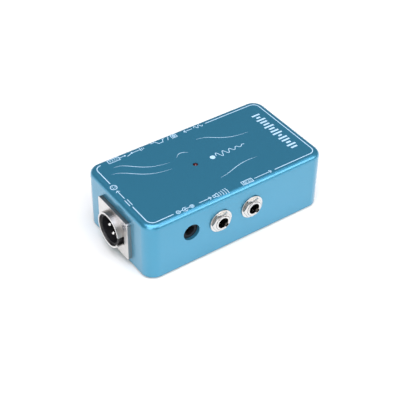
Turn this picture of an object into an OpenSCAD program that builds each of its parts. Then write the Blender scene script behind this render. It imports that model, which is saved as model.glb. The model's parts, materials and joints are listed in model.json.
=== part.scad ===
// Direct injection box. Two jacks and a power inlet are on the front wall, a line jack and two slide
// switches are on the rear wall, and a three-pin output connector is on the left end.
// Units are millimetres and +Z is up. The origin lies on the plane that the feet rest on, under the
// middle of the whole object's box, and +X points away from the output connector.

/* [Enclosure] */
// Length of the enclosure along X
body_l = 122; // [121:0.5:128]
// Width of the enclosure along Y
body_w = 66; // [66:0.5:70]
// Height of the enclosure above its feet
body_h = 37; // [37:0.5:42]
// Thickness of the side walls
wall_t = 2; // [1.8:0.1:2]
// Thickness of the top wall
top_t = 2.2; // [1.8:0.1:2.6]
// Radius of the vertical corners
corner_r = 8; // [7:0.5:9]
// Radius of the rounded rim around the top
rim_r = 3; // [1.5:0.5:4]
// Thickness of the bottom plate
plate_t = 1.4; // [1.2:0.1:1.6]
// Height of the rubber feet
foot_h = 1.2; // [0.8:0.1:2]
// Diameter of the rubber feet
foot_d = 9; // [7:0.5:11]

/* [Jacks] */
// Speaker jack, distance along X from the middle of the enclosure
speaker_x = -13.3; // [-13.6:0.1:-12.8]
// Amplifier jack, distance along X from the middle of the enclosure
amp_x = 8.3; // [7.8:0.1:9]
// Line jack on the rear wall, distance along X from the middle of the enclosure
line_x = 10.8; // [10:0.1:12]
// Height of the jacks and the switches above the enclosure's lower edge
jack_z = 21.3; // [21:0.1:22]
// Hole that the quarter-inch plug enters
jack_bore_d = 6.5; // [6.4:0.05:6.6]
// Outside diameter of the threaded bushing
bushing_d = 9.2; // [9:0.1:9.4]
// How far the bushing stands out of the wall
bushing_reach = 2.9; // [2.7:0.1:3.4]
// Hexagon nut, width across flats
nut_af = 11.5; // [11:0.1:12.7]
// Outside diameter of the washer
washer_d = 14.5; // [13.5:0.5:15]

/* [Power inlet] */
// Power inlet, distance along X from the middle of the enclosure
dc_x = -32.8; // [-33:0.1:-32]
// Height of the inlet above the enclosure's lower edge
dc_z = 22.2; // [22:0.1:23]
// Hole in the wall in front of the inlet
dc_hole_d = 10.5; // [9:0.1:10.8]
// Centre pin diameter
dc_pin_d = 2.1; // [2:0.05:2.5]

/* [Output connector] */
// Height of the connector above the enclosure's lower edge
xlr_z = 16.2; // [15.5:0.1:17]
// Flange length across the end wall
flange_w = 31; // [30:0.5:32]
// Flange height
flange_h = 26; // [25.5:0.5:26.5]
// Flange thickness
flange_t = 2.2; // [1.8:0.1:2.6]
// Outside diameter of the ring in front of the flange
ring_d = 21.7; // [21:0.1:22]
// How far the ring stands out of the end wall
ring_reach = 5.6; // [5:0.1:7]
// Contact pin diameter
xlr_pin_d = 2.36; // [2.3:0.02:2.4]
// Radius of the circle that the three contact pins stand on
xlr_pin_circle = 3.81; // [3.75:0.01:3.85]

/* [Slide switches] */
// Ground switch, distance along X from the middle of the enclosure
ground_switch_x = -36; // [-36.5:0.1:-35]
// Cabinet and pad switch, distance along X from the middle of the enclosure
pad_switch_x = -10; // [-11:0.1:-9.5]
// Travel of each lever
switch_travel = 4; // [3:0.1:4]
// How far each lever stands out of the wall
lever_reach = 2.6; // [2:0.1:2.8]

/* [Lamp] */
// Lamp, distance along X from the middle of the enclosure
led_x = -7.6; // [-8:0.1:-7]
// Lamp diameter
led_d = 3; // [2.8:0.1:3.2]

/* [Hidden] */
$fn = 64;

// Small allowance that lets a cutting shape pass right through
cut = 0.1;
// Clearance between parts that are put together
gap = 0.05;
// Clearance around a part that moves
free = 0.3;

// The enclosure stands off the middle of the whole object by half of the connector's reach
enclosure_x = ring_reach / 2;
shell_z = foot_h;
inner_r = corner_r - wall_t;
ceiling_z = shell_z + body_h - top_t;
plate_top = shell_z + plate_t;
// Ledge that the bottom plate lies against
plate_lip = wall_t - 0.9;
// Screw posts in the four corners
post_x = body_l / 2 - 6;
post_y = body_w / 2 - 6;
post_r = 4.5;
post_screw_r = 1.5;
foot_x = body_l / 2 - 15;
foot_y = body_w / 2 - 11;

// Jack parts, measured from the wall's outer face: positive is outwards
bushing_depth = 6;
housing_w = 15.6;
housing_top = 7.5;
housing_drop = 8.5;
housing_depth = 30;
housing_back_t = 0.8;
housing_bore_r = 3.6;
washer_t = 0.8;
nut_t = 1.8;
nut_face_r = 5;
contact_t = 0.4;
side_leg_x = 6.6;
side_leg_depth = 8.6;
sleeve_leg_x = 2.7;
sleeve_leg_depth = 7.15;
pin_hole_r = 0.85;

// Circuit boards
board_t = 1.6;
board_top = shell_z + jack_z - housing_drop;
board_bottom = board_top - board_t;
board_front = -body_w / 2 + wall_t + 1.5;
board_split = 5;
rear_board_front = 8;
leg_tail = 1;

// Power inlet, measured from the wall's outer face
dc_half = 5.5;
dc_depth = 16;
dc_socket_r = 3.15;
dc_socket_depth = 12;
dc_pin_recess = 3;
dc_tail_d = 1.6;

// Output connector, measured from the end wall's outer face
xlr_metal_r = 9.7;
xlr_barrel_r = 11.7;
xlr_barrel_depth = 18;
xlr_cup_r = 8.15;
xlr_cup_front = ring_reach - 1;
xlr_cup_floor = -10;
xlr_insert_back = -17;
xlr_pin_tip = 3.1;
xlr_tail = 5;
// The pins are thinner where the insert holds them, so a shoulder stands on the cup's floor
xlr_tail_d = 1.9;
xlr_solder_cup_r = 0.65;
xlr_screw_x = 12;
xlr_screw_y = 9.5;
m3_r = 1.5;
m3_nut_af = 5.5;
m3_nut_t = 2.4;
xlr_sink_r = 2.9;
xlr_sink_depth = 1.3;
latch_w = 6;
// The latch window stands a little below the connector's middle
latch_y = -1.5;
latch_out = 11.3;
tag_t = 0.5;

// Slide switches, measured from the rear wall's outer face
lever_half = 2;
lever_half_h = 2;
switch_frame_t = 0.5;
switch_frame_l = 19.6;
switch_frame_h = 6.6;
switch_screw_pitch = 15;
switch_screw_r = 1;
switch_skirt_l = 11;
switch_base_half = 9.4;
switch_base_depth = 5.8;
switch_base_t = 1.2;
terminal_pitch = 3.6;
terminal_depth = 10.5;
window_half = lever_half + switch_travel / 2 + free;
window_half_h = lever_half_h + free;
// The carriage behind the wall hides the window at both ends of the travel
carriage_half = window_half + switch_travel / 2;
carriage_t = 1.3;

// Lamp
led_flange_z = 33.2;
lamp_dome_z = shell_z + body_h + 0.3 - led_d / 2;

// Colours
shell_teal = [0.22, 0.53, 0.66];
plated = [0.85, 0.84, 0.83];
steel = [0.68, 0.68, 0.70];
black_plastic = [0.06, 0.06, 0.07];
brass = [0.80, 0.60, 0.28];
copper = [0.72, 0.42, 0.25];
board_green = [0.10, 0.38, 0.20];

// ---- placing ----

// Shapes described about the middle of the enclosure
module about_enclosure() {
    translate([enclosure_x, 0, 0]) children();
}

// Local +Z points out of the front wall, +X to the right and +Y up
module on_front(x, z) {
    about_enclosure()
        translate([x, -body_w / 2, shell_z + z])
            rotate([90, 0, 0]) children();
}

// Local +Z points out of the rear wall, +X towards world -X and +Y up
module on_rear(x, z) {
    about_enclosure()
        translate([x, body_w / 2, shell_z + z])
            rotate([90, 0, 180]) children();
}

// Local +Z points out of the left end wall, +X towards the front and +Y up
module on_end(z) {
    about_enclosure()
        translate([-body_l / 2, 0, shell_z + z])
            rotate([90, 0, -90]) children();
}

module at_corners(x, y) {
    for (sx = [-1, 1], sy = [-1, 1])
        translate([sx * x, sy * y, 0]) children();
}

// ---- shared shapes ----

module rounded_rect(l, w, r) {
    square([l - 2 * r, w], center = true);
    square([l, w - 2 * r], center = true);
    at_corners(l / 2 - r, w / 2 - r) circle(r);
}

// A cube from its lowest corner to its highest
module block(low, high) {
    translate(low) cube(high - low);
}

module tube(outer_r, inner_r, z0, z1) {
    translate([0, 0, z0])
        difference() {
            cylinder(r = outer_r, h = z1 - z0);
            translate([0, 0, -cut]) cylinder(r = inner_r, h = z1 - z0 + 2 * cut);
        }
}

// Hexagon nut lying between z0 and z1
// Its upper face is round, inside a shallow cone that trims the six corners
module hex_nut(af, hole_r, z0, z1, face_r) {
    corner = af / sqrt(3);
    translate([0, 0, z0])
        difference() {
            intersection() {
                cylinder(r = corner, h = z1 - z0, $fn = 6);
                cylinder(r1 = face_r + (z1 - z0) * tan(60), r2 = face_r, h = z1 - z0);
            }
            translate([0, 0, -cut]) cylinder(r = hole_r, h = z1 - z0 + 2 * cut);
        }
}

// Cross-shaped driver recess, cut downwards from z
module cross_recess(z, length, width, depth) {
    for (turn = [0, 90])
        rotate([0, 0, turn])
            translate([0, 0, z - depth / 2 + cut / 2])
                cube([length, width, depth + cut], center = true);
}

// Point on a cubic curve through a and d, led by b and c
function curve_point(a, b, c, d, t) =
    pow(1 - t, 3) * a + 3 * t * pow(1 - t, 2) * b + 3 * t * t * (1 - t) * c + t * t * t * d;
function unit(v) = v / norm(v);

// Round wire of eight sides that follows a cubic curve; side is never along the wire
module wire(a, b, c, d, r, side) {
    rings = 12;
    sides = 8;
    centres = [for (i = [0:rings]) curve_point(a, b, c, d, i / rings)];
    ahead = [for (i = [0:rings])
        i == 0 ? unit(b - a) : i == rings ? unit(d - c) : unit(centres[i + 1] - centres[i - 1])];
    skin = [for (i = [0:rings], k = [0:sides - 1])
        let (u = unit(cross(ahead[i], side)), v = cross(u, ahead[i]), turn = 360 * k / sides)
            centres[i] + r * (cos(turn) * u + sin(turn) * v)];
    walls = [for (i = [0:rings - 1], k = [0:sides - 1])
        let (next = (k + 1) % sides)
            [i * sides + k, (i + 1) * sides + k, (i + 1) * sides + next, i * sides + next]];
    first_end = [for (k = [0:sides - 1]) k];
    last_end = [for (k = [sides - 1:-1:0]) rings * sides + k];
    polyhedron(skin, concat(walls, [first_end, last_end]));
}

// ---- enclosure ----

// Half of the enclosure's cross-section: straight side and a rounded top rim
module rim_profile(half_w) {
    square([half_w - rim_r, body_h]);
    square([half_w, body_h - rim_r]);
    translate([half_w - rim_r, body_h - rim_r]) circle(rim_r);
}

module enclosure_outside() {
    long_side = body_l - 2 * corner_r;
    short_side = body_w - 2 * corner_r;
    at_corners(long_side / 2, short_side / 2)
        rotate_extrude() rim_profile(corner_r);
    for (turn = [0, 180])
        rotate([0, 0, turn]) {
            translate([0, short_side / 2, 0])
                rotate([90, 0, 90])
                    linear_extrude(long_side, center = true) rim_profile(corner_r);
            translate([long_side / 2, 0, 0])
                rotate([90, 0, 0])
                    linear_extrude(short_side, center = true) rim_profile(corner_r);
        }
    translate([0, 0, body_h / 2]) cube([long_side, short_side, body_h], center = true);
}

module corner_posts() {
    post_h = body_h - top_t - plate_t + cut;
    difference() {
        at_corners(post_x, post_y)
            translate([0, 0, plate_t]) cylinder(r = post_r, h = post_h);
        at_corners(post_x, post_y)
            translate([0, 0, plate_t - cut]) cylinder(r = post_screw_r + gap, h = 11);
    }
}

module wall_openings() {
    for (x = [speaker_x, amp_x])
        on_front(x, jack_z)
            translate([0, 0, -wall_t - cut])
                cylinder(d = bushing_d + 0.4, h = wall_t + 2 * cut);
    on_rear(line_x, jack_z)
        translate([0, 0, -wall_t - cut])
            cylinder(d = bushing_d + 0.4, h = wall_t + 2 * cut);
    on_front(dc_x, dc_z)
        translate([0, 0, -wall_t - cut])
            cylinder(d = dc_hole_d, h = wall_t + 2 * cut);
    for (x = [ground_switch_x, pad_switch_x])
        on_rear(x, jack_z)
            translate([0, 0, -wall_t / 2]) {
                cube([2 * window_half, 2 * window_half_h, wall_t + 2 * cut], center = true);
                for (s = [-1, 1])
                    translate([s * switch_screw_pitch / 2, 0, 0])
                        cylinder(r = switch_screw_r + 0.1, h = wall_t + 2 * cut, center = true);
            }
    on_end(xlr_z) {
        translate([0, 0, -wall_t - cut])
            cylinder(r = xlr_barrel_r + 0.2, h = wall_t + 2 * cut);
        xlr_screw_places(-wall_t - cut)
            cylinder(r = m3_r + 0.1, h = wall_t + 2 * cut);
    }
    about_enclosure()
        translate([led_x, 0, ceiling_z - cut])
            cylinder(d = led_d + 0.2, h = top_t + 2 * cut);
}

module enclosure_shell() color(shell_teal) {
    difference() {
        about_enclosure()
            translate([0, 0, shell_z]) {
                difference() {
                    enclosure_outside();
                    translate([0, 0, -cut])
                        linear_extrude(body_h - top_t + cut)
                            rounded_rect(body_l - 2 * wall_t, body_w - 2 * wall_t, inner_r);
                    translate([0, 0, -cut])
                        linear_extrude(plate_t + cut)
                            rounded_rect(body_l - 2 * plate_lip, body_w - 2 * plate_lip,
                                corner_r - plate_lip);
                }
                corner_posts();
            }
        wall_openings();
    }
}

module bottom_plate() color(shell_teal) {
    edge = plate_lip + 0.1;
    about_enclosure()
        translate([0, 0, shell_z])
            difference() {
                linear_extrude(plate_t)
                    rounded_rect(body_l - 2 * edge, body_w - 2 * edge, corner_r - edge);
                at_corners(post_x, post_y) {
                    translate([0, 0, -cut])
                        cylinder(r = post_screw_r + 0.1, h = plate_t + 2 * cut);
                    translate([0, 0, -cut])
                        cylinder(r1 = 3 + cut, r2 = post_screw_r, h = 1.5 + cut);
                }
            }
}

module bottom_screws() color(steel) {
    about_enclosure()
        translate([0, 0, shell_z])
            at_corners(post_x, post_y)
                difference() {
                    union() {
                        cylinder(r1 = 2.9, r2 = post_screw_r, h = 1.4);
                        cylinder(r = post_screw_r, h = 9);
                    }
                    translate([0, 0, 0.9]) rotate([180, 0, 0]) cross_recess(0.9, 3, 0.6, 0.9);
                }
}

module rubber_feet() color([0.08, 0.08, 0.09]) {
    about_enclosure()
        at_corners(foot_x, foot_y) {
            cylinder(d1 = foot_d - 0.8, d2 = foot_d, h = 0.4);
            translate([0, 0, 0.4]) cylinder(d = foot_d, h = foot_h - 0.4);
        }
}

// ---- lamp ----

module led_lens() color([0.45, 0.05, 0.06]) {
    about_enclosure()
        translate([led_x, 0, 0]) {
            translate([0, 0, led_flange_z]) cylinder(d = led_d + 0.8, h = 1);
            translate([0, 0, led_flange_z]) cylinder(d = led_d, h = lamp_dome_z - led_flange_z);
            translate([0, 0, lamp_dome_z])
                intersection() {
                    sphere(d = led_d);
                    translate([0, 0, led_d / 2]) cube(led_d, center = true);
                }
        }
}

module led_leads() color(steel) {
    about_enclosure()
        for (s = [-1, 1])
            translate([led_x + s * 1.27, 0, 0])
                block([-0.25, -0.25, board_bottom - leg_tail], [0.25, 0.25, led_flange_z]);
}

module led_spacer() color(black_plastic) {
    about_enclosure()
        translate([led_x, 0, board_top])
            difference() {
                cylinder(r = 2.2, h = led_flange_z - board_top);
                for (s = [-1, 1])
                    translate([s * 1.27, 0, -cut])
                        cylinder(r = 0.45, h = led_flange_z - board_top + 2 * cut);
            }
}

// ---- output connector ----

module xlr_screw_places(z) {
    for (s = [-1, 1])
        translate([s * xlr_screw_x, s * xlr_screw_y, z]) children();
}

// The third pin stands away from the latch, on the far side of the connector
module xlr_pin_places() {
    for (place = [[0, 1], [0, -1], [-1, 0]])
        translate([place.x * xlr_pin_circle, place.y * xlr_pin_circle, 0]) children();
}

module xlr_shell() color(plated) on_end(xlr_z) {
    difference() {
        union() {
            linear_extrude(flange_t) rounded_rect(flange_w, flange_h, 1.6);
            cylinder(d = ring_d, h = ring_reach);
            translate([0, 0, -xlr_barrel_depth]) cylinder(r = xlr_barrel_r, h = xlr_barrel_depth);
        }
        translate([0, 0, -xlr_barrel_depth - cut])
            cylinder(r = xlr_metal_r, h = xlr_barrel_depth + ring_reach + 2 * cut);
        block([xlr_metal_r - 1.6, latch_y - latch_w / 2, 0],
            [latch_out, latch_y + latch_w / 2, ring_reach + cut]);
        xlr_screw_places(-cut) cylinder(r = m3_r + 0.1, h = flange_t + 2 * cut);
        xlr_screw_places(flange_t - xlr_sink_depth)
            cylinder(r1 = m3_r, r2 = xlr_sink_r + cut, h = xlr_sink_depth + cut);
    }
}

module xlr_insert() color(black_plastic) on_end(xlr_z) {
    difference() {
        union() {
            translate([0, 0, xlr_insert_back])
                cylinder(r = xlr_metal_r - gap, h = xlr_cup_front - xlr_insert_back);
            // Latch seat behind the window in the flange
            block([xlr_cup_r + gap, latch_y - latch_w / 2 + gap, gap],
                [latch_out - gap, latch_y + latch_w / 2 - gap, 0.6]);
        }
        translate([0, 0, xlr_cup_floor]) cylinder(r = xlr_cup_r, h = 20);
        xlr_pin_places()
            translate([0, 0, xlr_insert_back - cut])
                cylinder(d = xlr_tail_d + 2 * gap, h = xlr_cup_floor - xlr_insert_back + 2 * cut);
    }
}

module xlr_pins() color(plated) on_end(xlr_z) {
    tail_end = xlr_insert_back - xlr_tail;
    dome_z = xlr_pin_tip - xlr_pin_d / 2;
    xlr_pin_places()
        difference() {
            union() {
                translate([0, 0, tail_end]) cylinder(d = xlr_tail_d, h = xlr_cup_floor - tail_end);
                translate([0, 0, xlr_cup_floor]) cylinder(d = xlr_pin_d, h = dome_z - xlr_cup_floor);
                translate([0, 0, dome_z]) sphere(d = xlr_pin_d);
            }
            // Solder cup in the tail
            translate([0, 0, tail_end - cut]) cylinder(r = xlr_solder_cup_r, h = 3.5);
            translate([0, 1.5, tail_end + 1.2]) cube([3, 3, 3], center = true);
        }
}

module xlr_screws() color(steel) on_end(xlr_z) {
    xlr_screw_places(flange_t)
        difference() {
            union() {
                translate([0, 0, 0.1 - xlr_sink_depth])
                    cylinder(r1 = m3_r, r2 = xlr_sink_r - 0.1, h = xlr_sink_depth - 0.1);
                translate([0, 0, -9]) cylinder(r = m3_r, h = 9 - xlr_sink_depth + 0.2);
            }
            cross_recess(0, 2.8, 0.7, 1);
        }
}

module xlr_nuts() color(steel) on_end(xlr_z) {
    xlr_screw_places(-wall_t - tag_t)
        rotate([180, 0, 0]) hex_nut(m3_nut_af, m3_r + gap, 0, m3_nut_t, m3_nut_af / 2);
}

module xlr_ground_tag() color(brass) on_end(xlr_z) {
    tag_r = 2.7;
    for (s = [-1, 1])
        translate([s * xlr_screw_x, s * xlr_screw_y, -wall_t - tag_t])
            difference() {
                union() {
                    cylinder(r = tag_r, h = tag_t);
                    if (s < 0) block([-8, -1.2, 0], [0, 1.2, tag_t]);
                }
                translate([0, 0, -cut]) cylinder(r = m3_r + 0.1, h = tag_t + 2 * cut);
            }
}

module xlr_wires() color([0.75, 0.20, 0.15]) about_enclosure() {
    cup_end = -body_l / 2 - xlr_insert_back + xlr_tail;
    pad_x = -32.3;
    wire_r = 0.6;
    centre_z = shell_z + xlr_z;
    // Each wire runs from a solder cup to its pad: side position, height and pad position
    for (run = [[0, -xlr_pin_circle, -2], [0, xlr_pin_circle, -5], [xlr_pin_circle, 0, 1]])
        wire([cup_end, run[0], centre_z + run[1]],
            [cup_end + 2, run[0], centre_z + run[1]],
            [pad_x, run[2], board_top + 10],
            [pad_x, run[2], board_top],
            wire_r, [0, 1, 0]);
}

// ---- jacks ----

module jack_bushing() {
    difference() {
        tube(bushing_d / 2, jack_bore_d / 2, -bushing_depth, bushing_reach);
        // Channel for the sleeve contact, open at the bushing's face
        rotate([0, 0, -45])
            block([3, -0.95, -bushing_depth - cut], [4.25, 0.95, bushing_reach + cut]);
    }
}

module jack_washer() {
    tube(washer_d / 2, bushing_d / 2 + 0.15, 0, washer_t);
}

module jack_nut() {
    hex_nut(nut_af, bushing_d / 2 + gap, washer_t, washer_t + nut_t, nut_face_r);
}

module jack_housing() {
    half_w = housing_w / 2;
    slot_half_h = 1.8;
    difference() {
        block([-half_w, -housing_drop, -housing_depth], [half_w, housing_top, -wall_t]);
        translate([0, 0, -housing_depth + housing_back_t])
            cylinder(r = housing_bore_r, h = housing_depth - housing_back_t);
        translate([0, 0, -bushing_depth])
            cylinder(r = bushing_d / 2 + gap, h = bushing_depth);
        // Side pockets for the tip spring and its fellow
        for (s = [0, 1])
            mirror([s, 0, 0]) {
                block([1, -slot_half_h, -housing_depth + housing_back_t],
                    [half_w - 0.7, slot_half_h, -side_leg_depth + 0.8]);
                block([side_leg_x - 0.4, -housing_drop - cut, -side_leg_depth - 0.9],
                    [half_w - 0.7, 0, -side_leg_depth + 0.8]);
            }
        // Groove and slot for the sleeve contact
        rotate([0, 0, -45])
            block([3.2, -1, -sleeve_leg_depth - 0.45], [4.4, 1, -bushing_depth + cut]);
        block([sleeve_leg_x - 0.7, -housing_drop - cut, -sleeve_leg_depth - 0.45],
            [sleeve_leg_x + 0.7, -2.4, -sleeve_leg_depth + 0.45]);
    }
}

// Bent strip that presses on the plug, with a leg that goes down through the board
module jack_side_spring() {
    strip = [[6.8, -8], [6.6, -20], [2.9, -26], [3.6, -28]];
    outline = concat(strip, [for (i = [3:-1:0]) strip[i] - [contact_t, 0]]);
    rotate([90, 0, 0]) linear_extrude(3, center = true) polygon(outline);
    block([side_leg_x - 0.2, -housing_drop - board_t - leg_tail, -side_leg_depth - 0.6],
        [side_leg_x + 0.2, -1.4, -side_leg_depth + 0.6]);
}

module jack_contacts() {
    for (s = [0, 1]) mirror([s, 0, 0]) jack_side_spring();
    rotate([0, 0, -45])
        block([3.55, -0.7, -sleeve_leg_depth - 0.25], [4.05, 0.7, bushing_reach - 1.3]);
    block([sleeve_leg_x - 0.5, -housing_drop - board_t - leg_tail, -sleeve_leg_depth - 0.25],
        [sleeve_leg_x + 0.5, -2.8, -sleeve_leg_depth + 0.25]);
}

// Holes in a board for the three legs of a jack
module jack_pin_holes() {
    for (leg = [[-side_leg_x, side_leg_depth], [side_leg_x, side_leg_depth],
            [sleeve_leg_x, sleeve_leg_depth]])
        translate([leg[0], -housing_drop + cut, -leg[1]])
            rotate([90, 0, 0]) cylinder(r = pin_hole_r, h = board_t + 2 * cut);
}

module speaker_jack_bushing() color(plated) on_front(speaker_x, jack_z) jack_bushing();
module speaker_jack_washer() color(plated) on_front(speaker_x, jack_z) jack_washer();
module speaker_jack_nut() color(plated) on_front(speaker_x, jack_z) jack_nut();
module speaker_jack_housing() color(black_plastic) on_front(speaker_x, jack_z) jack_housing();
module speaker_jack_contacts() color(copper) on_front(speaker_x, jack_z) jack_contacts();

module amp_jack_bushing() color(plated) on_front(amp_x, jack_z) jack_bushing();
module amp_jack_washer() color(plated) on_front(amp_x, jack_z) jack_washer();
module amp_jack_nut() color(plated) on_front(amp_x, jack_z) jack_nut();
module amp_jack_housing() color(black_plastic) on_front(amp_x, jack_z) jack_housing();
module amp_jack_contacts() color(copper) on_front(amp_x, jack_z) jack_contacts();

module line_jack_bushing() color(plated) on_rear(line_x, jack_z) jack_bushing();
module line_jack_washer() color(plated) on_rear(line_x, jack_z) jack_washer();
module line_jack_nut() color(plated) on_rear(line_x, jack_z) jack_nut();
module line_jack_housing() color(black_plastic) on_rear(line_x, jack_z) jack_housing();
module line_jack_contacts() color(copper) on_rear(line_x, jack_z) jack_contacts();

// ---- power inlet ----

dc_foot_drop = shell_z + dc_z - board_top;

module dc_inlet_body() color(black_plastic) on_front(dc_x, dc_z) {
    difference() {
        union() {
            block([-dc_half, -dc_half, -dc_depth], [dc_half, dc_half, -wall_t]);
            block([-4.5, -dc_foot_drop, -dc_depth], [4.5, -dc_half + cut, -wall_t - 1]);
        }
        translate([0, 0, -wall_t - dc_socket_depth])
            cylinder(r = dc_socket_r, h = dc_socket_depth + cut);
        translate([0, 0, -dc_depth - cut])
            cylinder(d = dc_tail_d + 2 * gap, h = dc_depth);
        block([-1.3, -4, -13], [1.3, -2, -5]);
        block([-1.3, -dc_foot_drop - cut, -9.4], [1.3, -3, -8.4]);
    }
}

module dc_inlet_pin() color(plated) on_front(dc_x, dc_z) {
    floor_z = -wall_t - dc_socket_depth;
    dome_z = -wall_t - dc_pin_recess;
    translate([0, 0, -dc_depth]) cylinder(d = dc_tail_d, h = dc_depth + floor_z);
    translate([0, 0, floor_z]) cylinder(d = dc_pin_d, h = dome_z - floor_z);
    translate([0, 0, dome_z]) sphere(d = dc_pin_d);
}

module dc_inlet_contacts() color(brass) on_front(dc_x, dc_z) {
    leg_end = -dc_foot_drop - board_t - leg_tail;
    block([-1.5, leg_end + 3, -dc_depth - 0.5], [1.5, 2, -dc_depth]);
    block([-0.7, leg_end, -dc_depth - 0.5], [0.7, leg_end + 3.1, -dc_depth]);
    block([-1, -3.7, -12.5], [1, -3.3, -5.5]);
    block([-0.7, leg_end, -9.1], [0.7, -3.6, -8.7]);
}

module dc_pin_holes() {
    for (depth = [dc_depth + 0.25, 8.9])
        translate([0, -dc_foot_drop + cut, -depth])
            rotate([90, 0, 0]) cylinder(r = pin_hole_r, h = board_t + 2 * cut);
}

// ---- slide switches ----

module switch_frame() {
    skirt_y = 2.9;
    back = -wall_t - switch_frame_t;
    difference() {
        translate([0, 0, back])
            linear_extrude(switch_frame_t)
                rounded_rect(switch_frame_l, switch_frame_h, 1);
        cube([2 * window_half, 2 * window_half_h, 20], center = true);
        for (s = [-1, 1])
            translate([s * switch_screw_pitch / 2, 0, back - cut])
                cylinder(r = switch_screw_r + gap, h = switch_frame_t + 2 * cut);
    }
    for (s = [0, 1])
        mirror([0, s, 0])
            block([-switch_skirt_l / 2, skirt_y, -switch_base_depth - switch_base_t - 0.4],
                [switch_skirt_l / 2, skirt_y + contact_t, back]);
}

module terminal_places() {
    for (i = [-1:1]) translate([i * terminal_pitch, 0, 0]) children();
}

module switch_base() {
    end_wall_x = carriage_half + switch_travel / 2 + 0.4;
    difference() {
        block([-switch_base_half, -2.85, -switch_base_depth - switch_base_t],
            [switch_base_half, 2.85, -switch_base_depth]);
        terminal_places()
            cube([1.3, 0.5 + 2 * gap, 40], center = true);
    }
    // Low walls at both ends that space the base off the frame
    for (s = [0, 1])
        mirror([s, 0, 0])
            block([end_wall_x, -2.85, -switch_base_depth],
                [switch_base_half, 2.85, -wall_t - switch_frame_t]);
}

module switch_terminals() {
    terminal_places() {
        block([-0.6, -0.25, -terminal_depth], [0.6, 0.25, -switch_base_depth]);
        block([-1.2, -1.4, -switch_base_depth], [1.2, 1.4, -switch_base_depth + 0.1]);
    }
}

// Lever at its own middle; the knob passes through the window and the carriage runs behind it
module switch_lever() {
    carriage_top = -wall_t - switch_frame_t - free;
    rib = 0.5;
    difference() {
        block([-lever_half, -lever_half_h, carriage_top - cut],
            [lever_half, lever_half_h, lever_reach]);
        for (i = [-1:1])
            translate([i * 1.2, 0, lever_reach])
                cube([rib, 2 * lever_half_h + cut, 0.7], center = true);
    }
    block([-carriage_half, -2.5, carriage_top - carriage_t], [carriage_half, 2.5, carriage_top]);
}

module switch_contact() {
    top = -wall_t - switch_frame_t - free - carriage_t;
    block([-3, -1.6, top - 0.4], [3, 1.6, top]);
    for (s = [-1, 1])
        translate([s * 1.8, 0, top - 0.4])
            rotate([90, 0, 0])
                difference() {
                    cylinder(r = 0.7, h = 2.4, center = true);
                    translate([0, 1, 0]) cube([2, 2, 3], center = true);
                }
}

// The levers rest at the end of their travel nearest the output connector
module at_rest_end() {
    translate([switch_travel / 2, 0, 0]) children();
}

module ground_switch_frame() color(steel) on_rear(ground_switch_x, jack_z) switch_frame();
module ground_switch_base() color([0.35, 0.20, 0.12]) on_rear(ground_switch_x, jack_z) switch_base();
module ground_switch_terminals() color(plated) on_rear(ground_switch_x, jack_z) switch_terminals();
module ground_switch_lever() color(black_plastic)
    on_rear(ground_switch_x, jack_z) at_rest_end() switch_lever();
module ground_switch_contact() color(copper)
    on_rear(ground_switch_x, jack_z) at_rest_end() switch_contact();

module pad_switch_frame() color(steel) on_rear(pad_switch_x, jack_z) switch_frame();
module pad_switch_base() color([0.35, 0.20, 0.12]) on_rear(pad_switch_x, jack_z) switch_base();
module pad_switch_terminals() color(plated) on_rear(pad_switch_x, jack_z) switch_terminals();
module pad_switch_lever() color(black_plastic)
    on_rear(pad_switch_x, jack_z) at_rest_end() switch_lever();
module pad_switch_contact() color(copper)
    on_rear(pad_switch_x, jack_z) at_rest_end() switch_contact();

module switch_screws() color(steel) {
    head_h = 1.2;
    shank = wall_t + switch_frame_t;
    for (x = [ground_switch_x, pad_switch_x], s = [-1, 1])
        on_rear(x, jack_z)
            translate([s * switch_screw_pitch / 2, 0, 0])
                difference() {
                    union() {
                        cylinder(r1 = 1.9, r2 = 1.3, h = head_h);
                        translate([0, 0, -shank]) cylinder(r = switch_screw_r, h = shank);
                    }
                    cross_recess(head_h, 2, 0.45, 0.8);
                }
}

module switch_wires() color([0.12, 0.25, 0.60]) about_enclosure() {
    wire_r = 0.5;
    start_y = body_w / 2 - terminal_depth;
    height = shell_z + jack_z;
    for (x = [ground_switch_x, pad_switch_x], i = [-1:1])
        wire([x + i * terminal_pitch, start_y, height],
            [x + i * terminal_pitch, start_y - 4, height],
            [x + i * terminal_pitch, start_y - 6, board_top + 5],
            [x + i * terminal_pitch, start_y - 6, board_top],
            wire_r, [1, 0, 0]);
}

// ---- circuit boards ----

main_supports = [[44, -26], [44, 1], [-30, 3]];
rear_supports = [[-38, 12], [22, 12]];

module support_holes(places) {
    for (p = places)
        translate([p.x, p.y, board_bottom - cut]) cylinder(r = 1.5, h = board_t + 2 * cut);
}

module main_board() color(board_green) difference() {
    about_enclosure()
        difference() {
            translate([0, 0, board_bottom])
                linear_extrude(board_t)
                    polygon([[-40, board_front], [48, board_front], [48, board_split],
                        [-33.5, board_split], [-33.5, -12.5], [-40, -12.5]]);
            support_holes(main_supports);
            for (s = [-1, 1])
                translate([led_x + s * 1.27, 0, board_bottom - cut])
                    cylinder(r = 0.45, h = board_t + 2 * cut);
        }
    on_front(speaker_x, jack_z) jack_pin_holes();
    on_front(amp_x, jack_z) jack_pin_holes();
    on_front(dc_x, dc_z) dc_pin_holes();
}

module rear_board() color(board_green) difference() {
    about_enclosure()
        difference() {
            block([-42, rear_board_front, board_bottom], [26, -board_front, board_top]);
            support_holes(rear_supports);
        }
    on_rear(line_x, jack_z) jack_pin_holes();
}

module board_supports() color([0.90, 0.90, 0.88]) about_enclosure() {
    for (p = concat(main_supports, rear_supports))
        translate([p.x, p.y, plate_top]) {
            cylinder(r = 2.5, h = board_bottom - plate_top);
            cylinder(r = 1.45, h = board_top - plate_top + 1);
        }
}

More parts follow.
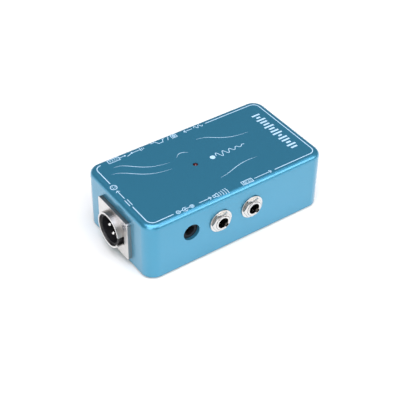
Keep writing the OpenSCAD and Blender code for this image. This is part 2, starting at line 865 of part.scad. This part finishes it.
module board_link_wires() color([0.80, 0.80, 0.78]) about_enclosure() {
    wire_r = 0.45;
    for (i = [0:5])
        wire([-27 + 1.8 * i, board_split - 1.5, board_top],
            [-27 + 1.8 * i, board_split - 1.5, board_top + 5],
            [-27 + 1.8 * i, rear_board_front + 1.5, board_top + 5],
            [-27 + 1.8 * i, rear_board_front + 1.5, board_top],
            wire_r, [1, 0, 0]);
}

op_amp_places = [[22, -2.5], [33, -2.5], [-26.2, -3]];

module op_amps() color(black_plastic) about_enclosure() {
    for (p = op_amp_places)
        translate([p.x, p.y, board_top])
            difference() {
                block([-4.6, -3.2, 0.6], [4.6, 3.2, 3.9]);
                translate([-4.6, 0, 3.5]) cylinder(r = 0.8, h = 1);
            }
}

module op_amp_pins() color(steel) about_enclosure() {
    for (p = op_amp_places, s = [0, 1], i = [0:3])
        translate([p.x - 3.81 + 2.54 * i, p.y, board_top])
            mirror([0, s, 0]) block([-0.25, 3.2, 0], [0.25, 3.6, 2.4]);
}

module electrolytic_capacitors() color([0.12, 0.14, 0.22]) about_enclosure() {
    // Position and height of each can
    for (can = [[21, -11, 11], [28, -11, 11], [35, -11, 8], [21, -19, 8], [28, -19, 8], [35, -19, 14]])
        translate([can[0], can[1], board_top])
            difference() {
                cylinder(r = 2.5, h = can[2]);
                cross_recess(can[2], 3, 0.3, 0.2);
            }
}

module film_capacitors() color([0.72, 0.12, 0.10]) about_enclosure() {
    for (x = [42, 45.5], y = [-19, -10])
        translate([x, y, board_top]) block([-1.25, -3.6, 0], [1.25, 3.6, 6.5]);
    for (x = [2, 11])
        translate([x, 0, board_top]) block([-3.6, -1.25, 0], [3.6, 1.25, 6.5]);
}

module resistors() color([0.78, 0.66, 0.45]) about_enclosure() {
    lead_r = 0.3;
    body_r = 1;
    lead_half = 4.5;
    for (i = [0:5])
        translate([20 + 4 * i, -26, board_top + body_r])
            rotate([90, 0, 0]) {
                cylinder(r = body_r, h = 4.6, center = true);
                cylinder(r = lead_r, h = 2 * lead_half - 3.6, center = true);
            }
}

enclosure_shell();
bottom_plate();
bottom_screws();
rubber_feet();
led_lens();
led_leads();
led_spacer();
xlr_shell();
xlr_insert();
xlr_pins();
xlr_screws();
xlr_nuts();
xlr_ground_tag();
xlr_wires();
speaker_jack_bushing();
speaker_jack_washer();
speaker_jack_nut();
speaker_jack_housing();
speaker_jack_contacts();
amp_jack_bushing();
amp_jack_washer();
amp_jack_nut();
amp_jack_housing();
amp_jack_contacts();
line_jack_bushing();
line_jack_washer();
line_jack_nut();
line_jack_housing();
line_jack_contacts();
dc_inlet_body();
dc_inlet_pin();
dc_inlet_contacts();
ground_switch_frame();
ground_switch_base();
ground_switch_terminals();
ground_switch_lever();
ground_switch_contact();
pad_switch_frame();
pad_switch_base();
pad_switch_terminals();
pad_switch_lever();
pad_switch_contact();
switch_screws();
switch_wires();
main_board();
rear_board();
board_supports();
board_link_wires();
op_amps();
op_amp_pins();
electrolytic_capacitors();
film_capacitors();
resistors();
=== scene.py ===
"""Looks of a direct injection box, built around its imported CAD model."""
import json
import math

import bmesh
import bpy
from mathutils import Matrix, Quaternion, Vector


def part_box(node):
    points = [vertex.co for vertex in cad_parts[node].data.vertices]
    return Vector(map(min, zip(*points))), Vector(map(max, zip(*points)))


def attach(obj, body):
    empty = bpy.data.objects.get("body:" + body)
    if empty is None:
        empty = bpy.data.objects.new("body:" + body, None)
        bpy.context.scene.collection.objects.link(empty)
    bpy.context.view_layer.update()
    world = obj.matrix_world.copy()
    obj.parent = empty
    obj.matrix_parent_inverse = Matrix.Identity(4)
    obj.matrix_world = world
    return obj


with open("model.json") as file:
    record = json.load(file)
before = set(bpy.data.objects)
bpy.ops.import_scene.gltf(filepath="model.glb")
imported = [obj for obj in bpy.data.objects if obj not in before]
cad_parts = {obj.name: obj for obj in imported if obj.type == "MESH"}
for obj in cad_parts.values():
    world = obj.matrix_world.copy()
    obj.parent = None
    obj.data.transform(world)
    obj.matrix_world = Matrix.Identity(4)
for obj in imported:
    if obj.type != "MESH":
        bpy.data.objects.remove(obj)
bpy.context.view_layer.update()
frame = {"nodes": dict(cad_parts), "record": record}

MM = 0.001
BOX = "box"
SHELL_LOW, SHELL_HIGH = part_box("enclosure_shell")
TOP_CENTRE = Vector(((SHELL_LOW.x + SHELL_HIGH.x) / 2, (SHELL_LOW.y + SHELL_HIGH.y) / 2, SHELL_HIGH.z))
HALF_LENGTH = (SHELL_HIGH.x - SHELL_LOW.x) / 2 / MM
HALF_WIDTH = (SHELL_HIGH.y - SHELL_LOW.y) / 2 / MM
SLOT_OF = {part["node"]: part["material_slot"] for part in frame["record"]["subparts"]}


# ---------------------------------------------------------------- materials

class Paint:
    """A principled material with short ways to add procedural detail. Scales are features per metre."""

    def __init__(self, name, colour, roughness, metallic=0.0, **inputs):
        self.material = bpy.data.materials.new(name)
        self.material.use_nodes = True
        self.nodes = self.material.node_tree.nodes
        self.links = self.material.node_tree.links
        self.shader = self.nodes["Principled BSDF"]
        self.shader.inputs["Base Color"].default_value = (*colour, 1.0)
        self.shader.inputs["Roughness"].default_value = roughness
        self.shader.inputs["Metallic"].default_value = metallic
        for key, value in inputs.items():
            self.shader.inputs[key.replace("_", " ")].default_value = value
        self.colour = colour
        self.roughness = roughness
        self.base = None
        self.height = None
        self.places = self.nodes.new("ShaderNodeTexCoord").outputs
        self.place = self.places["Object"]

    def mapped(self, stretch):
        node = self.nodes.new("ShaderNodeMapping")
        node.inputs["Scale"].default_value = stretch
        self.links.new(self.place, node.inputs["Vector"])
        return node.outputs["Vector"]

    def noise(self, scale, detail=3.0, rough=0.55, stretch=(1, 1, 1)):
        node = self.nodes.new("ShaderNodeTexNoise")
        node.inputs["Scale"].default_value = scale
        node.inputs["Detail"].default_value = detail
        node.inputs["Roughness"].default_value = rough
        self.links.new(self.mapped(stretch), node.inputs["Vector"])
        return node.outputs["Fac"]

    def remap(self, value, low, high, start=0.3, stop=0.7):
        node = self.nodes.new("ShaderNodeMapRange")
        node.inputs["From Min"].default_value = start
        node.inputs["From Max"].default_value = stop
        node.inputs["To Min"].default_value = low
        node.inputs["To Max"].default_value = high
        self.links.new(value, node.inputs["Value"])
        return node.outputs["Result"]

    def layer(self, colour, mask):
        """Lays a colour over the base where the mask is 1."""
        node = self.nodes.new("ShaderNodeMix")
        node.data_type = "RGBA"
        node.inputs["A"].default_value = (*self.colour, 1)
        node.inputs["B"].default_value = (*colour, 1)
        if self.base:
            self.links.new(self.base, node.inputs["A"])
        self.links.new(mask, node.inputs["Factor"])
        self.base = node.outputs["Result"]
        self.links.new(self.base, self.shader.inputs["Base Color"])
        return self

    def shaded_round_axis(self, axis, colour):
        """Lays another colour as painted shade where the surface runs round an axis of the box instead of
        facing along it, dimming the reflections there.
        """
        parts = self.nodes.new("ShaderNodeSeparateXYZ")
        size = self.nodes.new("ShaderNodeMath")
        size.operation = "ABSOLUTE"
        self.links.new(self.places["Normal"], parts.inputs["Vector"])
        self.links.new(parts.outputs[axis], size.inputs[0])
        return self.layer(colour, self.remap(size.outputs["Value"], 1, 0, 0.5, 0.8))

    def mottle(self, scale, amount, **more):
        """Makes the colour a little lighter and darker in patches."""
        dark = [c * (1 - amount) for c in self.colour]
        light = [min(1, c * (1 + amount)) for c in self.colour]
        field = self.noise(scale, **more)
        self.layer(dark, self.remap(field, 1, 0, 0.3, 0.5))
        return self.layer(light, self.remap(field, 0, 1, 0.5, 0.7))

    def smudge(self, scale, amount, **more):
        """Varies the roughness."""
        low = max(0.02, self.roughness - amount)
        value = self.remap(self.noise(scale, **more), low, self.roughness + amount)
        self.links.new(value, self.shader.inputs["Roughness"])
        return self

    def relief(self, field, depth, strength=1.0):
        """Bump from a 0 to 1 field, depth in metres, on top of any relief made before."""
        bump = self.nodes.new("ShaderNodeBump")
        bump.inputs["Strength"].default_value = strength
        bump.inputs["Distance"].default_value = depth
        self.links.new(field, bump.inputs["Height"])
        if self.height:
            self.links.new(self.height, bump.inputs["Normal"])
        self.height = bump.outputs["Normal"]
        self.links.new(self.height, self.shader.inputs["Normal"])
        return self

    def grain(self, scale, depth, **more):
        return self.relief(self.noise(scale, **more), depth)


def teal_enamel(name):
    paint = Paint(name, (0.050, 0.299, 0.464), 0.34, 0.64, Coat_Weight=0.8, Coat_Roughness=0.18)
    paint.mottle(9000, 0.12, detail=1)
    return paint.smudge(700, 0.03).grain(3800, 0.000002, detail=2)


def satin_nickel():
    paint = Paint("satin_nickel", (0.74, 0.725, 0.705), 0.36, 1.0)
    # Painted shade: walls running round the X axis, such as the connector ring, get a darker colour that
    # dims their highlights
    paint.mottle(700, 0.04).shaded_round_axis("X", (0.36, 0.35, 0.335))
    return paint.smudge(500, 0.05).grain(2600, 0.000001)


def bright_nickel():
    paint = Paint("bright_nickel", (0.68, 0.665, 0.645), 0.20, 1.0)
    # Painted shade: the jacks' sides running round the Y axis, such as bushing and nut flanks, get a darker
    # colour that dims their highlights
    paint.mottle(400, 0.05).shaded_round_axis("Y", (0.40, 0.39, 0.375))
    return paint.smudge(900, 0.05, stretch=(1, 5, 1)).grain(2600, 0.0000008)


def contact_silver():
    paint = Paint("contact_silver", (0.93, 0.92, 0.89), 0.13, 1.0)
    return paint.mottle(900, 0.04).smudge(1500, 0.03)


def zinc_plate(name, shade):
    paint = Paint(name, (shade, shade, shade * 1.03), 0.3, 1.0)
    paint.mottle(600, 0.08)
    return paint.smudge(1200, 0.08).grain(2400, 0.000004)


def tinned():
    paint = Paint("tinned_metal", (0.66, 0.66, 0.66), 0.32, 1.0)
    return paint.mottle(900, 0.08).smudge(1500, 0.08)


def moulded(name, colour, roughness):
    paint = Paint(name, colour, roughness, Specular_IOR_Level=0.25)
    paint.mottle(700, 0.25)
    return paint.smudge(900, 0.08).grain(4200, 0.000006)


def rubber():
    paint = Paint("rubber", (0.022, 0.022, 0.024), 0.75)
    paint.mottle(500, 0.3)
    return paint.grain(3000, 0.00002, detail=5)


def red_lens():
    paint = Paint("led_red", (0.11, 0.005, 0.007), 0.08, Transmission_Weight=0.4, IOR=1.53)
    return paint.mottle(1500, 0.1)


def brass(name, colour):
    paint = Paint(name, colour, 0.26, 1.0)
    paint.mottle(900, 0.12)
    return paint.smudge(1200, 0.08, stretch=(1, 1, 4)).grain(2600, 0.000003)


def laminate():
    """Green solder mask, with the tracks under it as a faint squared pattern."""
    paint = Paint("board_laminate", (0.010, 0.100, 0.040), 0.30, Coat_Weight=0.5, Coat_Roughness=0.1)
    cells = paint.nodes.new("ShaderNodeTexVoronoi")
    cells.feature = "F1"
    cells.distance = "CHEBYCHEV"
    cells.inputs["Scale"].default_value = 210
    paint.links.new(paint.place, cells.inputs["Vector"])
    paint.layer((0.030, 0.210, 0.085), paint.remap(cells.outputs["Distance"], 0, 1, 0.42, 0.46))
    return paint.mottle(300, 0.06).relief(cells.outputs["Distance"], 0.00002, 0.3)


def phenolic():
    paint = Paint("phenolic", (0.155, 0.062, 0.026), 0.5)
    return paint.mottle(800, 0.2, stretch=(1, 1, 9)).grain(2500, 0.000008)


def lacquered(name, colour, roughness=0.3):
    paint = Paint(name, colour, roughness, Coat_Weight=0.3, Coat_Roughness=0.1)
    return paint.mottle(500, 0.08).smudge(900, 0.05).grain(1500, 0.000008)


def printed_ink():
    paint = Paint("printed_ink", (0.50, 0.72, 0.86), 0.5)
    return paint.mottle(2500, 0.06).smudge(900, 0.05)


def white_paper():
    paint = Paint("floor_paper", (0.94, 0.93, 0.88), 0.9)
    return paint.mottle(40, 0.01)


PAINTS = {
    "shell_paint": teal_enamel("shell_paint"),
    "plate_paint": teal_enamel("plate_paint"),
    "plated_metal": satin_nickel(),
    "nickel_hardware": bright_nickel(),
    "steel_screws": zinc_plate("steel_screws", 0.62),
    "steel_frame": zinc_plate("steel_frame", 0.55),
    "tinned_metal": tinned(),
    "black_plastic": moulded("black_plastic", (0.012, 0.012, 0.014), 0.48),
    "lever_plastic": moulded("lever_plastic", (0.014, 0.014, 0.016), 0.35),
    "rubber": rubber(),
    "led_red": red_lens(),
    "brass_tags": brass("brass_tags", (0.72, 0.50, 0.20)),
    "spring_bronze": brass("spring_bronze", (0.19, 0.17, 0.155)),
    "board_laminate": laminate(),
    "phenolic": phenolic(),
    "nylon": moulded("nylon", (0.78, 0.77, 0.72), 0.45),
    "chip_plastic": moulded("chip_plastic", (0.02, 0.02, 0.022), 0.5),
    "capacitor_sleeve": lacquered("capacitor_sleeve", (0.010, 0.014, 0.040)),
    "film_plastic": lacquered("film_plastic", (0.40, 0.022, 0.018)),
    "resistor_ceramic": lacquered("resistor_ceramic", (0.50, 0.38, 0.20)),
    "wire_red": lacquered("wire_red", (0.45, 0.015, 0.012), 0.4),
    "wire_blue": lacquered("wire_blue", (0.012, 0.045, 0.26), 0.4),
    "wire_grey": lacquered("wire_grey", (0.34, 0.34, 0.33), 0.4),
}
INK = printed_ink()
PAINT_OF_NODE = {"xlr_pins": contact_silver()}


# ---------------------------------------------------------------- CAD nodes

# Width in millimetres of the small bevel on each kind of piece
EDGE_BEVEL = {
    "shell_paint": 0.30,
    "plate_paint": 0.20,
    "plated_metal": 0.30,
    "nickel_hardware": 0.14,
    "steel_screws": 0.10,
    "black_plastic": 0.12,
    "lever_plastic": 0.30,
    "rubber": 0.50,
    "steel_frame": 0.08,
}
# Edges that turn more than this many degrees are bevelled
SHARP = 32
WELD_DISTANCE = 0.002
FLAT_FACE_WEIGHT = 80
# The jacks: a straight chamfer on the bushings, and the nuts' flat cones count as edges too
JACK_EDGE = {"bushing": (0.24, 1, SHARP), "nut": (0.10, 3, 25)}


def break_edges(obj, width, segments=3, limit=SHARP):
    """Bevels every edge sharper than the limit in degrees, as modifiers."""
    weld = obj.modifiers.new("weld", "WELD")
    weld.merge_threshold = WELD_DISTANCE * MM
    bevel = obj.modifiers.new("broken_edges", "BEVEL")
    bevel.width = width * MM
    bevel.segments = segments
    bevel.limit_method = "ANGLE"
    bevel.angle_limit = math.radians(limit)
    bevel.harden_normals = False
    for face in obj.data.polygons:
        face.use_smooth = True
    normals = obj.modifiers.new("shading", "WEIGHTED_NORMAL")
    normals.keep_sharp = True
    normals.weight = FLAT_FACE_WEIGHT


def dress_nodes():
    """Gives every CAD node its material, and its bevels where it has any."""
    for node, obj in frame["nodes"].items():
        slot = SLOT_OF[node]
        obj.data.materials.clear()
        obj.data.materials.append(PAINT_OF_NODE.get(node, PAINTS[slot]).material)
        piece = node.split("_")[-1]
        if "_jack_" in node and piece in JACK_EDGE:
            break_edges(obj, *JACK_EDGE[piece])
        elif slot in EDGE_BEVEL:
            break_edges(obj, EDGE_BEVEL[slot])


dress_nodes()


# ---------------------------------------------------------------- printing on the top

# All in millimetres
LINE = 0.42
BOLD_LINE = 0.45
FRAME_LINE = 0.55
BAR_LINE = 1.25
FLOW_LINE_END = 0.05
FLOW_LINE_SWELL = 0.33
FRAME_INSET = 4.0
FRAME_CORNER = 4.0
# How far the ink stands out of the top and reaches into it
INK_ABOVE = 0.02
INK_BELOW = 0.05
INK_STEP = 0.0015
INK_STEPS = 12


class Pen:
    """Draws flat printed shapes on the top of the box, in millimetres from its middle."""

    def __init__(self, name):
        self.name = name
        self.mesh = bmesh.new()
        self.strokes = 0
        self.at(0, 0)

    def at(self, x, y, turn=0):
        """The next shapes are drawn from this point, turned by this many degrees."""
        self.place = Matrix.Translation((x, y, 0)) @ Matrix.Rotation(math.radians(turn), 4, "Z")
        return self

    def ink_top(self):
        """The next stroke's height: crossing strokes never share a plane."""
        self.strokes += 1
        return INK_ABOVE + INK_STEP * (self.strokes % INK_STEPS)

    def prism(self, outline):
        """A closed outline, given the extent of the ink."""
        top = self.ink_top()
        low = [self.mesh.verts.new(self.place @ Vector((x, y, -INK_BELOW))) for x, y in outline]
        high = [self.mesh.verts.new(self.place @ Vector((x, y, top))) for x, y in outline]
        self.mesh.faces.new(low[::-1])
        self.mesh.faces.new(high)
        for i in range(len(outline)):
            j = (i + 1) % len(outline)
            self.mesh.faces.new((low[i], low[j], high[j], high[i]))

    def stroke(self, points, width=LINE, closed=False):
        """A line of one width, or with a width for each point."""
        top = self.ink_top()
        points = [Vector(p) for p in points]
        count = len(points)
        widths = width if isinstance(width, list) else [width] * count
        rings = []
        for i, point in enumerate(points):
            before = points[i - 1] if i or closed else point
            after = points[(i + 1) % count] if i < count - 1 or closed else point
            into = (point - before).normalized() if before != point else (after - point).normalized()
            out = (after - point).normalized() if after != point else into
            along = (into + out).normalized()
            side = Vector((-along.y, along.x)) * widths[i] / 2 / max(along.dot(into), 0.5)
            ring = [(*(point + side), -INK_BELOW), (*(point - side), -INK_BELOW),
                    (*(point - side), top), (*(point + side), top)]
            rings.append([self.mesh.verts.new(self.place @ Vector(p)) for p in ring])
        for a, b in zip(rings, rings[1:] + rings[:1] if closed else rings[1:]):
            for k in range(4):
                m = (k + 1) % 4
                self.mesh.faces.new((a[k], b[k], b[m], a[m]))
        if not closed:
            self.mesh.faces.new(rings[0])
            self.mesh.faces.new(rings[-1][::-1])
        return self

    def arc(self, x, y, radius, start, stop, width=LINE):
        steps = max(4, int(abs(stop - start) / 12))
        angles = [math.radians(start + (stop - start) * k / steps) for k in range(steps + 1)]
        return self.stroke([(x + radius * math.cos(a), y + radius * math.sin(a)) for a in angles], width)

    def circle(self, x, y, radius, width=LINE):
        angles = [2 * math.pi * k / 28 for k in range(28)]
        points = [(x + radius * math.cos(a), y + radius * math.sin(a)) for a in angles]
        return self.stroke(points, width, closed=True)

    def dot(self, x, y, radius):
        angles = [2 * math.pi * k / 20 for k in range(20)]
        self.prism([(x + radius * math.cos(a), y + radius * math.sin(a)) for a in angles])
        return self

    def box(self, x0, y0, x1, y1, width=LINE):
        return self.stroke([(x0, y0), (x1, y0), (x1, y1), (x0, y1)], width, closed=True)

    def arrow(self, x0, x1, head=1.2):
        """A level arrow from x0 to x1."""
        back = math.copysign(head, x1 - x0)
        self.stroke([(x0, 0), (x1 - back * 0.3, 0)])
        return self.stroke([(x1 - back, head), (x1, 0), (x1 - back, -head)])

    def wave(self, x0, x1, height, turns, fade=0.0):
        """A sine wave that dies away by the share fade."""
        steps = int(14 * turns)
        points = []
        for k in range(steps + 1):
            t = k / steps
            points.append((x0 + (x1 - x0) * t, height * (1 - fade * t) * math.sin(2 * math.pi * turns * t)))
        return self.stroke(points)

    def done(self):
        bmesh.ops.recalc_face_normals(self.mesh, faces=self.mesh.faces)
        mesh = bpy.data.meshes.new(self.name)
        self.mesh.transform(Matrix.Scale(MM, 4))
        self.mesh.to_mesh(mesh)
        self.mesh.free()
        mesh.materials.append(INK.material)
        piece = bpy.data.objects.new(self.name, mesh)
        bpy.context.scene.collection.objects.link(piece)
        piece.location = TOP_CENTRE
        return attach(piece, BOX)


def rounded(corners, radius):
    """The points of an open line with each inner corner rounded."""
    points = [Vector(corners[0])]
    for before, corner, after in zip(corners, corners[1:], corners[2:]):
        corner = Vector(corner)
        into = (Vector(before) - corner).normalized()
        out = (Vector(after) - corner).normalized()
        centre = corner + (into + out) * radius
        for k in range(9):
            a = k / 8 * math.pi / 2
            points.append(centre - out * radius * math.cos(a) - into * radius * math.sin(a))
    return points + [Vector(corners[-1])]


def draw_frame():
    """The line round the top, broken where a symbol stands in it."""
    pen = Pen("printed_frame")
    x = HALF_LENGTH - FRAME_INSET
    y = HALF_WIDTH - FRAME_INSET
    pen.stroke(rounded([(-x, 12), (-x, y), (4 - x, y)], FRAME_CORNER - 0.3), FRAME_LINE)
    pen.stroke(rounded([(-x, -11.5), (-x, -y), (-42, -y)], FRAME_CORNER), FRAME_LINE)
    pen.stroke(rounded([(27, -y), (x, -y), (x, y), (19.5, y)], FRAME_CORNER), FRAME_LINE)
    return pen.done()


def bezier(a, b, c, d, steps=28):
    """Points along a cubic curve."""
    points = []
    for k in range(steps + 1):
        t = k / steps
        u = 1 - t
        points.append(Vector(a) * u**3 + Vector(b) * 3 * u * u * t
                      + Vector(c) * 3 * u * t * t + Vector(d) * t**3)
    return points


def draw_flow_lines():
    """Thin curves that swell in the middle and fade out at both ends."""
    pen = Pen("printed_flow_lines")
    for curve in (
        [(-48, 23), (-39, 24), (-38, 11), (-19, 9.5)],
        [(-52, 18.5), (-42, 17), (-40, 5), (-21, 4)],
        [(-13, 11), (-10, 14.5), (-8, 13.5), (-5, 11.5)],
        [(6, 19), (17, 18), (17, 8), (36, 8)],
        [(-3, -18), (8, -17), (12, -12), (26, -14)],
    ):
        points = bezier(*curve)
        last = len(points) - 1
        swell = [math.sin(math.pi * k / last) for k in range(last + 1)]
        pen.stroke(points, [FLOW_LINE_END + FLOW_LINE_SWELL * share for share in swell])
    return pen.done()


def draw_symbols():
    """A small picture beside each connector and switch, upright as seen from its own side."""
    pen = Pen("printed_symbols")
    side = HALF_WIDTH - FRAME_INSET
    # Power inlet: the pin is positive
    pen.at(-34.5, -side)
    pen.circle(-4.5, 0, 1.1).stroke([(-5, 0), (-4, 0)], BOLD_LINE)
    pen.stroke([(-3.4, 0), (-1.5, 0)]).arc(0, 0, 1.5, 40, 320).dot(0, 0, 0.6)
    pen.stroke([(0, 0), (3.4, 0)]).circle(4.5, 0, 1.1)
    pen.stroke([(4, 0), (5, 0)], BOLD_LINE).stroke([(4.5, -0.5), (4.5, 0.5)], BOLD_LINE)
    # Output to a loudspeaker
    pen.at(-13.3, -side)
    pen.arrow(-12, -4).box(-2.6, -0.8, -1.2, 0.8)
    pen.stroke([(-1.2, 0.7), (0.6, 1.5), (0.6, -1.5), (-1.2, -0.7)])
    for k in range(4):
        pen.arc(-1.2, 0, 3.4 + 1.6 * k, -26 + 3 * k, 26 - 3 * k)
    # Input from an amplifier
    pen.at(14.4, -side)
    pen.box(-10.4, -1.4, -3.4, 1.4).circle(-8.6, 0, 0.75)
    for k in range(3):
        pen.dot(-6.9 + 1.2 * k, 0.5, 0.32)
    pen.stroke([(-7.1, -0.6), (-4.3, -0.6)], 0.35).arrow(-2, 10)
    # Ground lift
    pen.at(-36.3, side, 180)
    for k in range(3):
        pen.stroke([(-12.2 + 1.1 * k, -0.5 - 0.45 * k), (-12.2 + 1.1 * k, 0.5 + 0.45 * k)])
    pen.stroke([(-10, 0), (-4.6, 0)]).dot(-4.2, 0, 0.6).stroke([(-4.2, 0), (-0.4, 1.4)])
    pen.dot(0.6, 0, 0.6).stroke([(0.6, 0), (4.4, 0)]).box(4.4, -1.4, 11.8, 1.4)
    for k in range(4):
        pen.dot(5.9 + 1.5 * k, 0, 0.38)
    # Cabinet tone in or out
    pen.at(-10, side, 180)
    pen.box(-8.6, -1.4, -5.2, 1.4).circle(-6.9, 0, 0.8).dot(-6.9, 0, 0.3)
    pen.stroke([(-3.6, -1.4), (-2, 1.4)])
    pen.stroke([(-0.6, -1.2), (0.4, -1.2), (1.4, 1.2), (4.2, 1.2), (5.6, -1.2), (8.6, -1.2)])
    # Line input
    pen.at(10.7, side, 180)
    pen.wave(-6.6, -0.6, 1.2, 2).arrow(0.8, 6.6)
    # Balanced output
    pen.at(-HALF_LENGTH + FRAME_INSET, 0, -90)
    pen.arrow(3.2, -4.6).circle(-8.2, 0, 1.9, BOLD_LINE)
    for angle in (90, 210, 330):
        a = math.radians(angle)
        pen.dot(0.95 * math.cos(a) - 8.2, 0.95 * math.sin(a), 0.36)
    pen.stroke([(4.6, 0.8), (10.2, 0.8)]).stroke([(4.6, -0.8), (10.2, -0.8)])
    return pen.done()


def draw_level_bars():
    """A row of bars like a sound's outline, across the far end, and a fading wave in the middle."""
    pen = Pen("printed_level_bars")
    bars = 15
    row = 37
    x = 49.6
    for k in range(bars):
        y = row * (k / (bars - 1) - 0.5)
        length = 2.2 + 4.8 * abs(math.sin(1.15 * k + 0.6)) * (1 - 0.35 * abs(k / (bars - 1) - 0.5))
        pen.stroke([(x - length / 2, y), (x + length / 2, y)], BAR_LINE)
    pen.at(14, -0.3)
    pen.dot(-9.8, 0, 1.6).wave(-7.2, 13, 2.4, 4.5, 0.8)
    return pen.done()


draw_frame()
draw_flow_lines()
draw_symbols()
draw_level_bars()


# ---------------------------------------------------------------- stage, light and camera

CAMERA_PLACE = Vector((-0.2680, -0.3728, 0.4005))
CAMERA_LOOK = Vector((0.4429, 0.6188, -0.6488))
CAMERA_ROLL_DEG = 1.02
CAMERA_LENS = 92.0
FLOOR_SIZE = 8
# The world's strength at the horizon and above it, and the heights between which it changes
HORIZON_STRENGTH = 0.92
SKY_STRENGTH = 0.12
HORIZON_TOP = 0.03
SKY_START = 0.12
WORLD_COLOUR = (0.92, 0.97, 1.0, 1)


def camera_at(location, target, roll_deg, lens):
    data = bpy.data.cameras.new("camera")
    data.lens = lens
    data.clip_start = 0.01
    data.clip_end = 20
    camera = bpy.data.objects.new("camera", data)
    bpy.context.scene.collection.objects.link(camera)
    look = (Vector(target) - Vector(location)).to_track_quat("-Z", "Y")
    camera.rotation_mode = "QUATERNION"
    camera.rotation_quaternion = look @ Quaternion((0, 0, 1), math.radians(roll_deg))
    camera.location = location
    bpy.context.scene.camera = camera


def area_light(name, location, target, width, height, power, colour=(1, 1, 1)):
    data = bpy.data.lights.new(name, "AREA")
    data.shape = "RECTANGLE"
    data.size = width
    data.size_y = height
    data.energy = power
    data.color = colour
    light = bpy.data.objects.new(name, data)
    bpy.context.scene.collection.objects.link(light)
    light.location = location
    light.rotation_mode = "QUATERNION"
    light.rotation_quaternion = (Vector(target) - Vector(location)).to_track_quat("-Z", "Y")


def soft_sky(name, direction, strength, spread_deg, colour):
    """One very wide soft light from far away, so that the floor is equally bright everywhere."""
    data = bpy.data.lights.new(name, "SUN")
    data.energy = strength
    data.angle = math.radians(spread_deg)
    data.color = colour
    light = bpy.data.objects.new(name, data)
    bpy.context.scene.collection.objects.link(light)
    light.rotation_mode = "QUATERNION"
    light.rotation_quaternion = (-Vector(direction)).to_track_quat("-Z", "Y")


def studio_world():
    """A dim room with a pale strip along the horizon."""
    world = bpy.data.worlds.new("studio")
    world.use_nodes = True
    nodes = world.node_tree.nodes
    links = world.node_tree.links
    place = nodes.new("ShaderNodeTexCoord")
    parts = nodes.new("ShaderNodeSeparateXYZ")
    strength = nodes.new("ShaderNodeMapRange")
    strength.inputs["From Min"].default_value = HORIZON_TOP
    strength.inputs["From Max"].default_value = SKY_START
    strength.inputs["To Min"].default_value = HORIZON_STRENGTH
    strength.inputs["To Max"].default_value = SKY_STRENGTH
    background = nodes["Background"]
    background.inputs["Color"].default_value = WORLD_COLOUR
    links.new(place.outputs["Generated"], parts.inputs["Vector"])
    links.new(parts.outputs["Z"], strength.inputs["Value"])
    links.new(strength.outputs["Result"], background.inputs["Strength"])
    return world


def build_stage():
    bpy.ops.mesh.primitive_plane_add(size=FLOOR_SIZE)
    floor = bpy.context.object
    floor.name = "floor"
    floor.data.materials.append(white_paper().material)
    bpy.context.scene.world = studio_world()
    soft_sky("overhead", (-0.2, -0.3, 1.6), 3.0, 66, (0.97, 0.975, 1.08))
    area_light("left_front", (-1.2, -0.9, 0.8), (0, 0, 0.02), 1.2, 1.0, 10.0)
    area_light("key", (0.66, -0.85, 0.80), (0, 0, 0.02), 0.8, 0.6, 5.6)
    scene = bpy.context.scene
    scene.view_settings.view_transform = "Standard"
    scene.view_settings.look = "None"


build_stage()
camera_at(CAMERA_PLACE, CAMERA_PLACE + CAMERA_LOOK, CAMERA_ROLL_DEG, CAMERA_LENS)
